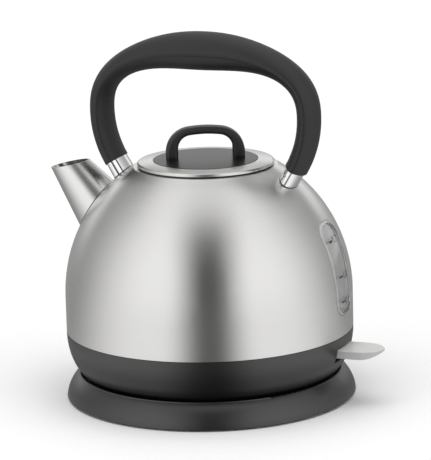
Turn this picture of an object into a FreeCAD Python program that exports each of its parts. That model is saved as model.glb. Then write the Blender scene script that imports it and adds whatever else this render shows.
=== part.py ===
import FreeCAD, Part

# Cordless electric kettle: a domed steel kettle that lifts off, and turns on, a round power base.
# Millimetres, +Z up. The spout points to -X, the switch lever and the water gauge to +X, and the
# handle arches over X. Pieces are drawn about the turning axis, and saved with the origin in the
# middle of the overall length, on the surface that the base stands on.

import math
import os

# Middle of the overall length, measured from the turning axis towards the lever
middle_x = 4.9

# Clearances
moving_gap = 0.3           # between pieces that move against each other
running_gap = 0.05         # radial, between a pin and the hole that it turns or slides in
screw_gap = 0.05           # radial, round the shank of a screw
fitting_gap = 0.2          # between pieces that are pushed together by hand

# Power base
base_r = 96.0              # standing edge of the rim
base_crest_in = 8.2        # from the body's side in to where the rim turns over into the dish
base_bulge = 1.6           # swell of the rim's side beyond a straight line
base_crest_round = 0.8
base_wall = 2.4
base_plate_t = 2.4
base_plate_inset = 0.8
dish_gap = 1.6             # between the dish and the kettle's collar
foot_proud = 1.5           # how far the rubber feet stand below the rim
foot_sink = 1.0            # how deep they are let into the bottom plate
foot_r = 7.0
foot_inset = 11.0          # from the rim's edge in to the middle of a foot
foot_angles = (-32.0, 88.0, 208.0)
base_screw_ring_r = 60.0
base_screw_angles = (30.0, 150.0, 270.0)
base_screw_end_gap = 0.5   # between the end of a screw and the dish
gland_r = 4.1              # cord inlet bush in the back of the base
gland_bore_r = 3.3
gland_length = 10.0
gland_lift = 0.2           # above the bottom plate

# Screws and posts
screw_r = 1.6
screw_head_r = 3.2
screw_head_h = 1.1
screw_bite = 9.0           # length of shank beyond the piece that it holds
boss_r = 4.2

# Round connector between the base and the kettle
socket_r = 20.0
socket_top_above_floor = 14.6
socket_flange_r = 25.0
socket_flange_t = 2.2
socket_well_above_floor = 2.6
socket_pedestal_r = 18.0
live_hole_r = 4.4
live_contact_wall = 1.4
contact_height = 6.0
ring_wall = 1.0            # of the kettle's ring contacts
ring_radii = (11.2, 16.5)  # inner radii of the kettle's neutral and earth rings
ring_slot_room = 1.0       # on each side of a ring, in the base's socket
base_contact_wall = 0.7
housing_r = 27.0
housing_flange_r = 31.0
housing_flange_t = 2.2
housing_roof_t = 5.0
recess_gap = 1.0           # round the base's socket
recess_roof_gap = 2.0      # above the base's socket
ring_sink = 2.0            # how deep the pin and the rings are let into the roof
pin_r = 2.5
pin_head_r = 7.0
pin_head_gap = 0.2
pin_tip_gap = 2.5          # above the bottom of the socket's wells

# Collar and underside of the kettle
body_r = 95.0
collar_bottom_z = 14.0
collar_top_z = 45.6
collar_foot_r = 76.0       # where the collar's curve meets its flat underside
collar_wall = 2.4
collar_lip_r = 72.0
cover_t = 2.4
cover_inset = 1.0
glide_r = 62.0
glide_w = 4.0
seat_gap = 0.2             # between the glide ring and the base
post_ring_r = 72.5
post_angles = (60.0, 180.0, 300.0)
post_r = 3.6

# Steel body
shell_wall = 0.8
shell_joint_gap = 0.3      # shadow line between steel and collar
skirt_inset = 3.0
skirt_depth = 5.0
dome_start_z = 69.0
dome_height = 98.0
shoulder_r = 49.5          # where the dome breaks into the ledge round the lid
shoulder_run = 2.0
ledge_rise = 1.4
neck_r = 41.3
neck_round = 1.0
neck_depth = 6.0

# Heating, under the water floor
floor_t = 1.2
spreader_clear = 2.4       # between the heat spreader and the steam tube's seal
spreader_t = 3.5
element_in = 10.0          # from the spreader's edge in to the middle of the element
element_tube_r = 3.3
element_gap_angle = 40.0
terminal_r = 1.5
control_half_x = 24.0
control_half_y = 20.0
control_corner_r = 4.0
bimetal_r = 7.0
bimetal_t = 0.6
bimetal_x = 13.0

# Steam tube
steam_back = 22.0          # from the lever's pivot back to the tube
steam_y = 26.0
steam_tube_r = 4.0
steam_tube_wall = 1.0
steam_tube_gap = 8.0       # between the tube's top and the dome
steam_seal_waist_r = 6.0
steam_seal_lip_r = 8.0
steam_seal_lip_t = 1.5

# Switch
lever_top_z = 38.0
lever_t = 5.4
lever_reach = 121.0
lever_tip_length = 15.0
lever_half_w = 12.4
lever_tip_t = 1.6          # the underside rises to leave this much at the tip
lever_rise_length = 12.0   # over this length
lever_edge_round = 0.9
lever_slot_side = 0.5
lever_slot_above = 0.5
lever_slot_below = 3.4
lever_pivot_in = 13.0      # from the body's side in to the lever's pivot
lever_hub_r = 3.4
lever_pin_r = 1.5
lever_tail_length = 13.5   # behind the pivot
lever_tail_half_w = 5.0
lever_tail_down = 2.0
lever_tail_up = 1.5
ear_t = 3.0
ear_reach = 4.0            # of the ears, in front of the pivot
ear_back = 16.0            # of the ears, behind the pivot
ear_bottom_z = 25.0
switch_back = (30.0, 8.0)  # back and front of the switch block, behind the pivot
switch_y = (-15.0, 36.0)
switch_top_z = 30.0
steam_bimetal_r = 6.0
steam_chamber_h = 4.0
steam_socket_depth = 2.0
trip_rod_r = 1.2
trip_rod_back = 11.0       # behind the pivot
trip_rod_length = 11.0
lamp_r = 2.2
lamp_length = 10.0
lamp_y = -7.0
lamp_z = 26.5

# Water gauge
gauge_mid_z = 90.0
gauge_half_h = 30.5
gauge_half_w = 14.0
gauge_corner_r = 11.0
gauge_proud = 0.8
gauge_flange = 4.5         # how far the lens spreads behind the steel
gauge_flange_t = 1.6
gauge_seal_t = 1.0
gauge_clamp_t = 1.2
gauge_clamp_w = 8.5
gauge_stud_r = 1.0
gauge_nut_r = 2.0
gauge_nut_h = 2.0
gauge_stud_rows = (-20.0, 20.0)

# Spout
spout_lean = 39.0          # of its axis, from upright
spout_taper = 10.8         # half angle
spout_mouth_x = -98.4
spout_mouth_drop = 2.75    # of the mouth's middle, below the body's shoulder
spout_mouth_r = 11.8
spout_mouth_tilt = 11.7
spout_wall = 0.8
spout_length = 62.0
spout_flange_w = 1.5       # welded edge that lies on the body
spout_flange_t = 0.6
strainer_hole_r = 1.9
strainer_pitch = 5.6
strainer_rings = 2

# Handle
arch_half_span = 72.5      # of the grip's centre line
grip_end_rise = 1.85       # of the grip's ends, above the body's shoulder
grip_side_rise = 33.5      # from there up to where the centre line stands upright
arch_rise = 41.6           # from there up to the top of the centre line
arch_power = 2.45
grip_end_lean = 31.0
grip_side_t = 7.4          # half thickness at the sides, in the plane of the arch
grip_top_t = 12.7
grip_side_w = 13.0         # half width at the sides, across the arch
grip_top_w = 13.5
grip_ridge_t = 2.0         # half height of the soft edge along the grip
grip_ridge_w = 0.8
grip_sections_side = 4
grip_sections_top = 7
ferrule_t = 5.8            # half thickness where it meets the grip, in the plane of the arch
ferrule_w = 12.2           # half width there
ferrule_flare = 0.6        # how much it spreads on its way to the body
handle_screw_r = 2.5
handle_screw_head_r = 5.0
handle_screw_head_h = 3.0
handle_screw_bite = 16.0
saddle_r = 6.5
saddle_t = 5.0

# Lid
lid_r = 45.0
lid_seat_gap = 0.3
lid_seal_t = 0.7
lid_seal_depth = 4.0
lid_rim_h = 0.9
lid_rim_round = 1.2
lid_crown = 0.8            # rise of the steel ring from its rim to the black disc
lid_wall = 0.8
lid_disc_r = 34.2
lid_disc_gap = 0.4
lid_disc_edge_h = 1.4
lid_disc_sink = 1.2
lid_disc_crown = 0.9
lid_plug_r = 40.0
lid_plug_depth = 5.5
lid_turn = 24.0            # the loose lid is set down a little turned
knob_half_span = 25.9
knob_height = 22.0         # above the edge of the disc
knob_bar_t = 5.0
knob_leg_t = 8.1
knob_half_w = 5.2
knob_corner_r = 17.0
knob_edge_round = 2.3
knob_top_slope = 8.0       # of the knob's top where it meets its corners, in degrees
lid_screw_bite = 8.0

# Places and heights that follow from the sizes above
base_bottom_z = foot_proud
base_plate_top_z = base_bottom_z + base_plate_t
base_crest_r = body_r - base_crest_in
base_floor_z = collar_bottom_z - dish_gap
base_floor_under_z = base_floor_z - base_wall
gland_z = base_plate_top_z + gland_lift + gland_r
socket_flange_z = base_floor_under_z - socket_flange_t
socket_top_z = base_floor_z + socket_top_above_floor
socket_well_z = base_floor_z + socket_well_above_floor
cover_z = collar_bottom_z + collar_wall
cover_top_z = cover_z + cover_t
recess_roof_z = socket_top_z + recess_roof_gap
housing_top_z = recess_roof_z + housing_roof_t
ring_top_z = recess_roof_z + ring_sink
pin_head_z = ring_top_z + pin_head_gap
shell_bottom_z = collar_top_z + shell_joint_gap
floor_z = shell_bottom_z + shell_wall
floor_top_z = floor_z + floor_t
spreader_z = floor_z - spreader_t
element_z = spreader_z - element_tube_r
control_top_z = spreader_z - bimetal_t
lever_bottom_z = lever_top_z - lever_t
lever_pivot_x = body_r - lever_pivot_in
lever_pivot_z = lever_top_z - lever_t / 2
switch_x = (lever_pivot_x - switch_back[0], lever_pivot_x - switch_back[1])
trip_rod_x = lever_pivot_x - trip_rod_back
steam_x = lever_pivot_x - steam_back
steam_r = math.hypot(steam_x, steam_y)
spreader_r = steam_r - steam_seal_lip_r - spreader_clear
element_ring_r = spreader_r - element_in

up = FreeCAD.Vector(0, 0, 1)
along_x = FreeCAD.Vector(1, 0, 0)
along_y = FreeCAD.Vector(0, 1, 0)
origin = FreeCAD.Vector(0, 0, 0)


def point(x, y, z):
    return FreeCAD.Vector(x, y, z)


def in_plane(place):
    """A point of the upright plane through the axis, from its radius and height."""
    return FreeCAD.Vector(place[0], 0, place[1])


def polar(radius, degrees):
    return radius * math.cos(math.radians(degrees)), radius * math.sin(math.radians(degrees))


def ellipse_height(radius, centre, semi):
    """Height above an ellipse's centre at a radius."""
    return semi[1] * math.sqrt(1 - ((radius - centre[0]) / semi[0]) ** 2)


def ellipse_edge(centre, semi, start, end):
    """Arc of an upright ellipse between two of its points, the short way round."""
    top = in_plane((centre[0], centre[1] + semi[1]))
    side = in_plane((centre[0] + semi[0], centre[1]))
    angles = []
    for place in (start, end):
        from_side = math.atan2((place[1] - centre[1]) / semi[1], (place[0] - centre[0]) / semi[0])
        angles.append(math.pi / 2 - from_side if semi[1] > semi[0] else from_side)
    far, near = (top, side) if semi[1] > semi[0] else (side, top)
    curve = Part.Ellipse(far, near, in_plane(centre))
    return Part.ArcOfEllipse(curve, min(angles), max(angles)).toShape()


def outline(start, *steps):
    """Closed face in the upright plane. A step is a point for a straight line, a point to pass through
    and an end for an arc, or a centre, two half axes and an end for an arc of an ellipse."""
    edges = []
    here = start
    for step in steps:
        if not isinstance(step[0], tuple):
            there = step
            edges.append(Part.LineSegment(in_plane(here), in_plane(there)).toShape())
        elif len(step) == 2:
            there = step[1]
            edges.append(Part.Arc(in_plane(here), in_plane(step[0]), in_plane(there)).toShape())
        else:
            there = step[2]
            edges.append(ellipse_edge(step[0], step[1], here, there))
        here = there
    if math.dist(here, start) > 1e-6:
        edges.append(Part.LineSegment(in_plane(here), in_plane(start)).toShape())
    return Part.Face(Part.Wire(Part.__sortEdges__(edges)))


def turned(face, angle=360.0, begin=0.0):
    """Solid of revolution about the kettle's axis."""
    face = face.copy()
    face.rotate(origin, up, begin)
    return Part.makeSolid(face.revolve(origin, up, angle).Shells[0])


def disc(radius, low, high, x=0.0, y=0.0):
    return Part.makeCylinder(radius, high - low, point(x, y, low), up)


def ring(inner, outer, low, high, x=0.0, y=0.0):
    return disc(outer, low, high, x, y).cut(disc(inner, low, high, x, y))


def block(x, y, z):
    return Part.makeBox(x[1] - x[0], y[1] - y[0], z[1] - z[0], point(x[0], y[0], z[0]))


def through(a, b, bulge):
    """Point that lifts the middle of a straight line off to its right-hand side."""
    run = math.hypot(b[0] - a[0], b[1] - a[1])
    across = ((b[1] - a[1]) / run, -(b[0] - a[0]) / run)
    return (a[0] + b[0]) / 2 + bulge * across[0], (a[1] + b[1]) / 2 + bulge * across[1]


def group(solids):
    return Part.makeCompound(list(solids))


def save(name, shape):
    placed = shape.copy()
    placed.translate(along_x * -middle_x)
    placed.exportStep("parts/" + name + ".step")


# Profiles that several pieces share
collar_centre = (collar_foot_r, collar_top_z)
collar_semi = (body_r - collar_foot_r, collar_top_z - collar_bottom_z)
dome_centre = (0.0, dome_start_z)


def grown(semi, by):
    return semi[0] + by, semi[1] + by


def on_collar(radius, by):
    """Point of the collar's outer curve, or of that curve pushed out by a distance."""
    semi = grown(collar_semi, by)
    return radius, collar_centre[1] - ellipse_height(radius, collar_centre, semi)


def dome_semi(depth):
    return body_r - depth, dome_height - depth


def on_dome(radius, depth=0.0):
    """Point of the dome, or of the surface at a depth behind it."""
    return radius, dome_start_z + ellipse_height(radius, dome_centre, dome_semi(depth))


shoulder = on_dome(shoulder_r)
grip_end_z = shoulder[1] + grip_end_rise
arch_side_z = grip_end_z + grip_side_rise
arch_top_z = arch_side_z + arch_rise


def dome_filling(depth):
    """Solid of everything inside the dome, or inside the surface at a depth behind it."""
    semi = dome_semi(depth)
    top = (0.0, dome_start_z + semi[1])
    return turned(outline(
        (0.0, floor_z),
        (semi[0], floor_z),
        (semi[0], dome_start_z),
        (dome_centre, semi, top)))


def pilot_screw(x, y, head_z, reach):
    """Screw driven upwards: its head starts at head_z and its shank ends at reach."""
    head = disc(screw_head_r, head_z, head_z + screw_head_h, x, y)
    return head.fuse(disc(screw_r, head_z + screw_head_h, reach, x, y)).removeSplitter()


os.makedirs("parts", exist_ok=True)

# Power base
base_screw_places = [polar(base_screw_ring_r, angle) for angle in base_screw_angles]
foot_places = [polar(base_r - foot_inset, angle) for angle in foot_angles]
base_screw_reach = base_floor_under_z - base_screw_end_gap


def make_gland():
    """Bush that guides the cord out of the back of the base."""
    start = point(0, base_r - gland_length, gland_z)
    bush = Part.makeCylinder(gland_r, gland_length, start, along_y)
    return bush.cut(Part.makeCylinder(gland_bore_r, gland_length, start, along_y))


def base_wall_inside():
    """Inner side of the base's rim: the point under its crest, and its standing edge."""
    apex = on_collar(base_crest_r - base_crest_round, dish_gap + base_wall)
    return apex, (base_r - base_wall, base_bottom_z)


def base_plate_r():
    """Radius that stays inside the swelling rim up to the top of the plate."""
    apex, foot = base_wall_inside()
    share = base_plate_t / (apex[1] - foot[1])
    wall_r = foot[0] + (apex[0] - foot[0]) * share + 4 * base_bulge * share * (1 - share)
    return min(foot[0], wall_r) - base_plate_inset


def make_base_cover():
    """Moulded top of the base: a swelling rim, and a dish that the kettle's collar stands in."""
    foot = (base_r, base_bottom_z)
    crest = on_collar(base_crest_r, dish_gap)
    outside = (crest[0] + base_crest_round, crest[1] - base_crest_round)
    inside = on_collar(base_crest_r - base_crest_round, dish_gap)
    apex, inner_foot = base_wall_inside()
    hole_r = socket_r + fitting_gap
    cover = turned(outline(
        foot,
        (through(foot, outside, base_bulge), outside),
        (crest, inside),
        (collar_centre, grown(collar_semi, dish_gap), (collar_foot_r, base_floor_z)),
        (hole_r, base_floor_z),
        (hole_r, base_floor_under_z),
        (collar_foot_r, base_floor_under_z),
        (collar_centre, grown(collar_semi, dish_gap + base_wall), apex),
        (through(apex, inner_foot, -base_bulge), inner_foot)))
    for x, y in base_screw_places:
        cover = cover.fuse(disc(boss_r, base_plate_top_z, base_floor_under_z, x, y))
        cover = cover.cut(disc(screw_r + screw_gap, base_plate_top_z, base_screw_reach, x, y))
    start = point(0, base_r - gland_length, gland_z)
    return cover.cut(Part.makeCylinder(gland_r, gland_length * 2, start, along_y))


def make_base_plate():
    plate = disc(base_plate_r(), base_bottom_z, base_plate_top_z)
    plate = plate.fuse(ring(socket_pedestal_r, socket_flange_r, base_plate_top_z, socket_flange_z))
    for x, y in foot_places:
        plate = plate.cut(disc(foot_r + fitting_gap, base_bottom_z, base_bottom_z + foot_sink, x, y))
    for x, y in base_screw_places:
        sunk = base_bottom_z + screw_head_h
        plate = plate.cut(disc(screw_head_r + fitting_gap, base_bottom_z, sunk, x, y))
        plate = plate.cut(disc(screw_r + screw_gap, sunk, base_plate_top_z, x, y))
    return plate


def make_base_socket():
    """Round male half of the connector, with a well for the live pin and one for each ring."""
    socket = disc(socket_r, socket_flange_z, socket_top_z)
    socket = socket.fuse(disc(socket_flange_r, socket_flange_z, base_floor_under_z))
    socket = socket.cut(disc(live_hole_r, socket_well_z, socket_top_z))
    for radius in ring_radii:
        inner = radius - ring_slot_room
        outer = radius + ring_wall + ring_slot_room
        socket = socket.cut(ring(inner, outer, socket_well_z, socket_top_z))
    return socket


def make_base_contacts():
    top = socket_well_z + contact_height
    solids = [ring(live_hole_r - live_contact_wall, live_hole_r, socket_well_z, top)]
    for radius in ring_radii:
        inner = radius - ring_slot_room
        solids.append(ring(inner, inner + base_contact_wall, socket_well_z, top))
    return group(solids)


save("base_cover", make_base_cover())
save("base_plate", make_base_plate())
save("base_socket", make_base_socket())
save("base_contacts", make_base_contacts())
save("base_feet", group(disc(foot_r, 0, base_bottom_z + foot_sink, x, y) for x, y in foot_places))
save("base_screws", group(pilot_screw(x, y, base_bottom_z, base_screw_reach)
                          for x, y in base_screw_places))
save("cord_gland", make_gland())


# Connector in the kettle
def make_connector_pin():
    """Live pin on the axis, with a round head that the kettle turns about."""
    pin = disc(pin_r, socket_well_z + pin_tip_gap, pin_head_z)
    return pin.fuse(disc(pin_head_r, pin_head_z, housing_top_z - pin_head_gap)).removeSplitter()


def make_connector_housing():
    housing = disc(housing_r, collar_bottom_z, housing_top_z)
    housing = housing.fuse(disc(housing_flange_r, cover_top_z, cover_top_z + housing_flange_t))
    housing = housing.cut(disc(socket_r + recess_gap, collar_bottom_z, recess_roof_z))
    housing = housing.cut(disc(pin_r + running_gap, recess_roof_z, ring_top_z))
    housing = housing.cut(disc(pin_head_r + 2 * running_gap, ring_top_z, housing_top_z))
    for radius in ring_radii:
        housing = housing.cut(ring(radius, radius + ring_wall, recess_roof_z, ring_top_z))
    return housing


def make_contact_rings():
    low = socket_well_z + pin_tip_gap
    return group(ring(radius, radius + ring_wall, low, ring_top_z) for radius in ring_radii)


save("connector_pin", make_connector_pin())
save("connector_housing", make_connector_housing())
save("contact_rings", make_contact_rings())


# Collar and underside
post_places = [polar(post_ring_r, angle) for angle in post_angles]
post_screw_reach = cover_top_z + screw_bite


def make_collar():
    """Moulded skirt that hides the heater, with a slot for the lever."""
    inner_semi = grown(collar_semi, -collar_wall)
    collar = turned(outline(
        (body_r, collar_top_z),
        (collar_centre, collar_semi, (collar_foot_r, collar_bottom_z)),
        (collar_lip_r, collar_bottom_z),
        (collar_lip_r, cover_z),
        (collar_foot_r, cover_z),
        (collar_centre, inner_semi, (body_r - collar_wall, collar_top_z))))
    half = lever_half_w + lever_slot_side
    slot = block((lever_pivot_x, body_r + lever_t), (-half, half),
                 (lever_bottom_z - lever_slot_below, lever_top_z + lever_slot_above))
    return collar.cut(slot)


def make_bottom_cover():
    """Disc that closes the underside, with the ring that glides on the base."""
    cover = disc(collar_foot_r - cover_inset, cover_z, cover_top_z)
    cover = cover.fuse(ring(glide_r, glide_r + glide_w, base_floor_z + seat_gap, cover_z))
    cover = cover.cut(disc(housing_r + fitting_gap, cover_z, cover_top_z))
    for x, y in post_places:
        sunk = cover_z + screw_head_h
        cover = cover.cut(disc(screw_head_r + fitting_gap, cover_z, sunk, x, y))
        cover = cover.cut(disc(screw_r + screw_gap, sunk, cover_top_z, x, y))
    return cover


def make_body_posts():
    """Threaded posts under the water floor that the bottom cover is screwed to."""
    solids = []
    for x, y in post_places:
        post = disc(post_r, cover_top_z, floor_z, x, y)
        solids.append(post.cut(disc(screw_r + screw_gap, cover_top_z, post_screw_reach, x, y)))
    return group(solids)


save("collar", make_collar())
save("bottom_cover", make_bottom_cover())
save("body_posts", make_body_posts())
save("bottom_screws", group(pilot_screw(x, y, cover_z, post_screw_reach) for x, y in post_places))


# Spout, which is welded over a strainer of holes in the steel body
spout_axis = point(-math.sin(math.radians(spout_lean)), 0, math.cos(math.radians(spout_lean)))
spout_mouth = point(spout_mouth_x, 0, shoulder[1] - spout_mouth_drop)


def spout_cone(inset):
    """Round cone along the spout's axis, from inside the body to past the mouth."""
    past = spout_mouth_r * 2
    widen = math.tan(math.radians(spout_taper))
    start = spout_mouth - spout_axis * spout_length
    low_r = spout_mouth_r + spout_length * widen - inset
    high_r = spout_mouth_r - past * widen - inset
    return Part.makeCone(low_r, high_r, spout_length + past, start, spout_axis)


def make_spout():
    """Cone with a slanting mouth, and a narrow flange where it is welded to the body."""
    cone = spout_cone(0).cut(spout_cone(spout_wall))
    past = spout_mouth_r * 4
    lid = Part.makeBox(2 * past, 2 * past, past, point(-past, -past, 0))
    lid.rotate(origin, along_y, -spout_mouth_tilt)
    lid.translate(spout_mouth)
    flange = spout_cone(-spout_flange_w).common(dome_filling(-spout_flange_t)).cut(spout_cone(spout_wall))
    return cone.cut(lid).fuse(flange).cut(dome_filling(0)).removeSplitter()


def strainer_holes():
    """Straight rows of holes along the spout's axis, in rings of six round a middle one."""
    across = along_y
    upward = spout_axis.cross(across)
    start = spout_mouth - spout_axis * spout_length
    places = [(0.0, 0.0)]
    for count in range(1, strainer_rings + 1):
        for step in range(6 * count):
            places.append(polar(count * strainer_pitch, step * 60.0 / count))
    for a, b in places:
        middle = start + across * a + upward * b
        yield Part.makeCylinder(strainer_hole_r, spout_length, middle, spout_axis)


save("spout", make_spout())


# Handle: a moulded grip on two bright ferrules, screwed on from inside the body
def arch_foot():
    """Radius of the lower arc of the grip's centre line, and the point where the grip ends."""
    lean = math.radians(grip_end_lean)
    radius = (arch_side_z - grip_end_z) / math.sin(lean)
    return radius, (arch_half_span - radius * (1 - math.cos(lean)), grip_end_z)


def grip_section(x, z, lean, half_t, half_w):
    """Closed outline square to the grip's centre line: two arcs, with a soft edge where they meet."""
    outward = point(math.cos(lean), 0, math.sin(lean))
    centre = point(x, 0, z)

    def place(out, side):
        return centre + outward * out + along_y * side

    edge = half_w - grip_ridge_w
    crown = Part.Arc(place(grip_ridge_t, edge), place(half_t, 0), place(grip_ridge_t, -edge))
    front = Part.Arc(place(grip_ridge_t, -edge), place(0, -half_w), place(-grip_ridge_t, -edge))
    belly = Part.Arc(place(-grip_ridge_t, -edge), place(-half_t, 0), place(-grip_ridge_t, edge))
    back = Part.Arc(place(-grip_ridge_t, edge), place(0, half_w), place(grip_ridge_t, edge))
    return Part.Wire([curve.toShape() for curve in (crown, front, belly, back)])


def grip_stations():
    """Centre line of half the grip, from its end at +X up to the middle of the arch."""
    radius = arch_foot()[0]
    for step in range(grip_sections_side):
        lean = math.radians(grip_end_lean) * (1 - step / grip_sections_side)
        x = arch_half_span - radius * (1 - math.cos(lean))
        yield x, arch_side_z - radius * math.sin(lean), -lean, 0.0
    rise = arch_top_z - arch_side_z
    for step in range(grip_sections_top + 1):
        turn = math.pi / 2 * step / grip_sections_top
        across = math.cos(turn) ** (2 / arch_power) if step < grip_sections_top else 0.0
        high = math.sin(turn) ** (2 / arch_power)
        normal = (across ** (arch_power - 1) / arch_half_span, high ** (arch_power - 1) / rise)
        thicker = math.cos(math.pi / 2 * across) ** 2
        lean = math.atan2(normal[1], normal[0])
        yield arch_half_span * across, arch_side_z + rise * high, lean, thicker


def make_grip():
    half = []
    for x, z, lean, thicker in grip_stations():
        half_t = grip_side_t + (grip_top_t - grip_side_t) * thicker
        half_w = grip_side_w + (grip_top_w - grip_side_w) * thicker
        half.append((x, z, lean, half_t, half_w))
    other = [(-x, z, math.pi - lean, t, w) for x, z, lean, t, w in reversed(half[:-1])]
    sections = [grip_section(*station) for station in half + other]
    grip = Part.makeLoft(sections, True)
    for side in (-1, 1):
        grip = grip.cut(foot_rod(side, handle_screw_r + screw_gap, 0, handle_screw_bite))
    return grip


def foot_line(side):
    """End of the grip on one side, and the direction from there down to the body."""
    end = arch_foot()[1]
    lean = math.radians(grip_end_lean)
    return point(side * end[0], 0, end[1]), point(-side * math.sin(lean), 0, -math.cos(lean))


def foot_length(side=1):
    """Distance from the end of the grip to the body's outer surface, along the foot's axis."""
    place, down = foot_line(side)
    reach = Part.LineSegment(place, place + down * body_r).toShape()
    inside = reach.common(dome_filling(0))
    return min((vertex.Point - place).Length for vertex in inside.Vertexes)


def foot_rod(side, radius, below, above):
    """Cylinder along a foot's axis, from below the grip's end to above it."""
    place, down = foot_line(side)
    return Part.makeCylinder(radius, below + above, place + down * below, down * -1)


ferrule_length = foot_length()


def foot_oval(side, below, half_t, half_w):
    """Oval square to a foot's axis, at a distance below the end of the grip."""
    place, down = foot_line(side)
    centre = place + down * below
    outward = along_y.cross(down)
    oval = Part.Ellipse(centre + along_y * half_w, centre + outward * half_t, centre)
    return Part.Wire(oval.toShape())


def make_ferrule(side):
    """Bright oval sleeve between the grip and the body, a little wider at its foot."""
    deep = ferrule_length + ferrule_w
    top = foot_oval(side, 0, ferrule_t, ferrule_w)
    foot = foot_oval(side, deep, ferrule_t + ferrule_flare, ferrule_w + ferrule_flare)
    sleeve = Part.makeLoft([top, foot], True, True)
    sleeve = sleeve.cut(foot_rod(side, handle_screw_r + screw_gap, deep, 0))
    return sleeve.cut(dome_filling(0))


def make_saddle(side):
    """Washer inside the body that fits the curve of the steel."""
    low = ferrule_length + saddle_t
    washer = foot_rod(side, saddle_r, low, saddle_r - ferrule_length)
    washer = washer.common(dome_filling(shell_wall))
    return washer.cut(foot_rod(side, handle_screw_r + screw_gap, low, 0))


def make_handle_screw(side):
    low = ferrule_length + saddle_t
    shank = foot_rod(side, handle_screw_r, low, handle_screw_bite)
    head = foot_rod(side, handle_screw_head_r, low + handle_screw_head_h, -low)
    return shank.fuse(head).removeSplitter()


save("handle_grip", make_grip())
save("front_ferrule", make_ferrule(-1))
save("rear_ferrule", make_ferrule(1))
save("handle_saddles", group(make_saddle(side) for side in (-1, 1)))
save("handle_screws", group(make_handle_screw(side) for side in (-1, 1)))


# Water gauge: a clear lens in a cut-out of the steel, clamped from inside
gauge_bar_x = body_r / 2   # well inside the steel, where the bars that cut the gauge's pieces start


def gauge_prism(spread):
    """Bar along +X with the gauge's rounded outline, spread beyond the lens by a distance."""
    half_w = gauge_half_w + spread
    half_h = gauge_half_h + spread
    z = (gauge_mid_z - half_h, gauge_mid_z + half_h)
    bar = block((gauge_bar_x, gauge_bar_x + body_r), (-half_w, half_w), z)
    lengthwise = [edge for edge in bar.Edges if abs(edge.tangentAt(edge.FirstParameter).x) > 0.5]
    return bar.makeFillet(gauge_corner_r + spread, lengthwise)


def dome_layer(outer, inner):
    return dome_filling(outer).cut(dome_filling(inner))


gauge_seal_in = shell_wall + gauge_seal_t
gauge_flange_in = gauge_seal_in + gauge_flange_t
gauge_clamp_in = gauge_flange_in + gauge_clamp_t
gauge_nut_in = gauge_clamp_in + gauge_nut_h
gauge_stud_places = [(side * (gauge_half_w + gauge_flange / 2), gauge_mid_z + row)
                     for side in (-1, 1) for row in gauge_stud_rows]


def gauge_rod(y, z, radius, outer, inner):
    """Bar along X behind the steel, between two depths behind the dome."""
    bar = Part.makeCylinder(radius, body_r, point(gauge_bar_x, y, z), along_x)
    return bar.common(dome_filling(outer)).cut(dome_filling(inner))


def drilled(shape):
    for y, z in gauge_stud_places:
        shape = shape.cut(gauge_rod(y, z, gauge_stud_r + screw_gap, shell_wall, gauge_nut_in))
    return shape


def make_gauge_lens():
    face = dome_layer(-gauge_proud, gauge_flange_in).common(gauge_prism(0))
    flange = dome_layer(gauge_seal_in, gauge_flange_in).common(gauge_prism(gauge_flange))
    return drilled(face.fuse(flange))


def make_gauge_seal():
    rim = dome_layer(shell_wall, gauge_seal_in).common(gauge_prism(gauge_flange))
    return drilled(rim.cut(gauge_prism(fitting_gap)))


def make_gauge_clamp():
    rim = dome_layer(gauge_flange_in, gauge_clamp_in).common(gauge_prism(gauge_flange))
    return drilled(rim.cut(gauge_prism(gauge_flange - gauge_clamp_w)))


def make_gauge_studs():
    """Studs welded to the steel, with the nuts that hold the clamp."""
    for y, z in gauge_stud_places:
        stud = gauge_rod(y, z, gauge_stud_r, shell_wall, gauge_nut_in)
        nut = gauge_rod(y, z, gauge_nut_r, gauge_clamp_in, gauge_nut_in)
        yield stud.fuse(nut)


save("gauge_lens", make_gauge_lens())
save("gauge_seal", make_gauge_seal())
save("gauge_clamp", make_gauge_clamp())
save("gauge_studs", group(make_gauge_studs()))


# Steel body
ledge_r = shoulder_r - shoulder_run
ledge_z = shoulder[1] + ledge_rise
ledge_under_z = ledge_z - shell_wall


def make_body_shell():
    """Drawn steel dome with a ledge and a neck for the lid, and a stepped-in edge inside the collar."""
    inner = dome_semi(shell_wall)
    inner_r = body_r - shell_wall
    skirt_r = body_r - skirt_inset
    inner_shoulder = on_dome(shoulder_r - shell_wall, shell_wall)
    neck_low_z = ledge_z - neck_depth
    bend = neck_round * (1 - math.sqrt(0.5))
    shell = turned(outline(
        (body_r, dome_start_z),
        (body_r, shell_bottom_z),
        (skirt_r, shell_bottom_z),
        (skirt_r, shell_bottom_z - skirt_depth),
        (skirt_r - shell_wall, shell_bottom_z - skirt_depth),
        (skirt_r - shell_wall, floor_z),
        (inner_r, floor_z),
        (inner_r, dome_start_z),
        (dome_centre, inner, inner_shoulder),
        (ledge_r - shell_wall / 2, ledge_under_z),
        (neck_r + shell_wall, ledge_under_z),
        (neck_r + shell_wall, neck_low_z),
        (neck_r, neck_low_z),
        (neck_r, ledge_z - neck_round),
        ((neck_r + bend, ledge_z - bend), (neck_r + neck_round, ledge_z)),
        (ledge_r, ledge_z),
        shoulder,
        (dome_centre, dome_semi(0), (body_r, dome_start_z))))
    shell = shell.cut(gauge_prism(fitting_gap))
    holes = list(strainer_holes())
    past = ferrule_length + saddle_t
    holes += [foot_rod(side, handle_screw_r + screw_gap, past, 0) for side in (-1, 1)]
    return shell.cut(holes)


save("body_shell", make_body_shell())


# Heating
def make_heating_plate():
    """Water floor: a flat steel disc, welded to the ledge inside the body."""
    plate = disc(body_r - shell_wall - fitting_gap, floor_z, floor_top_z)
    return plate.cut(disc(steam_seal_waist_r, floor_z, floor_top_z, steam_x, steam_y))


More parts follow.
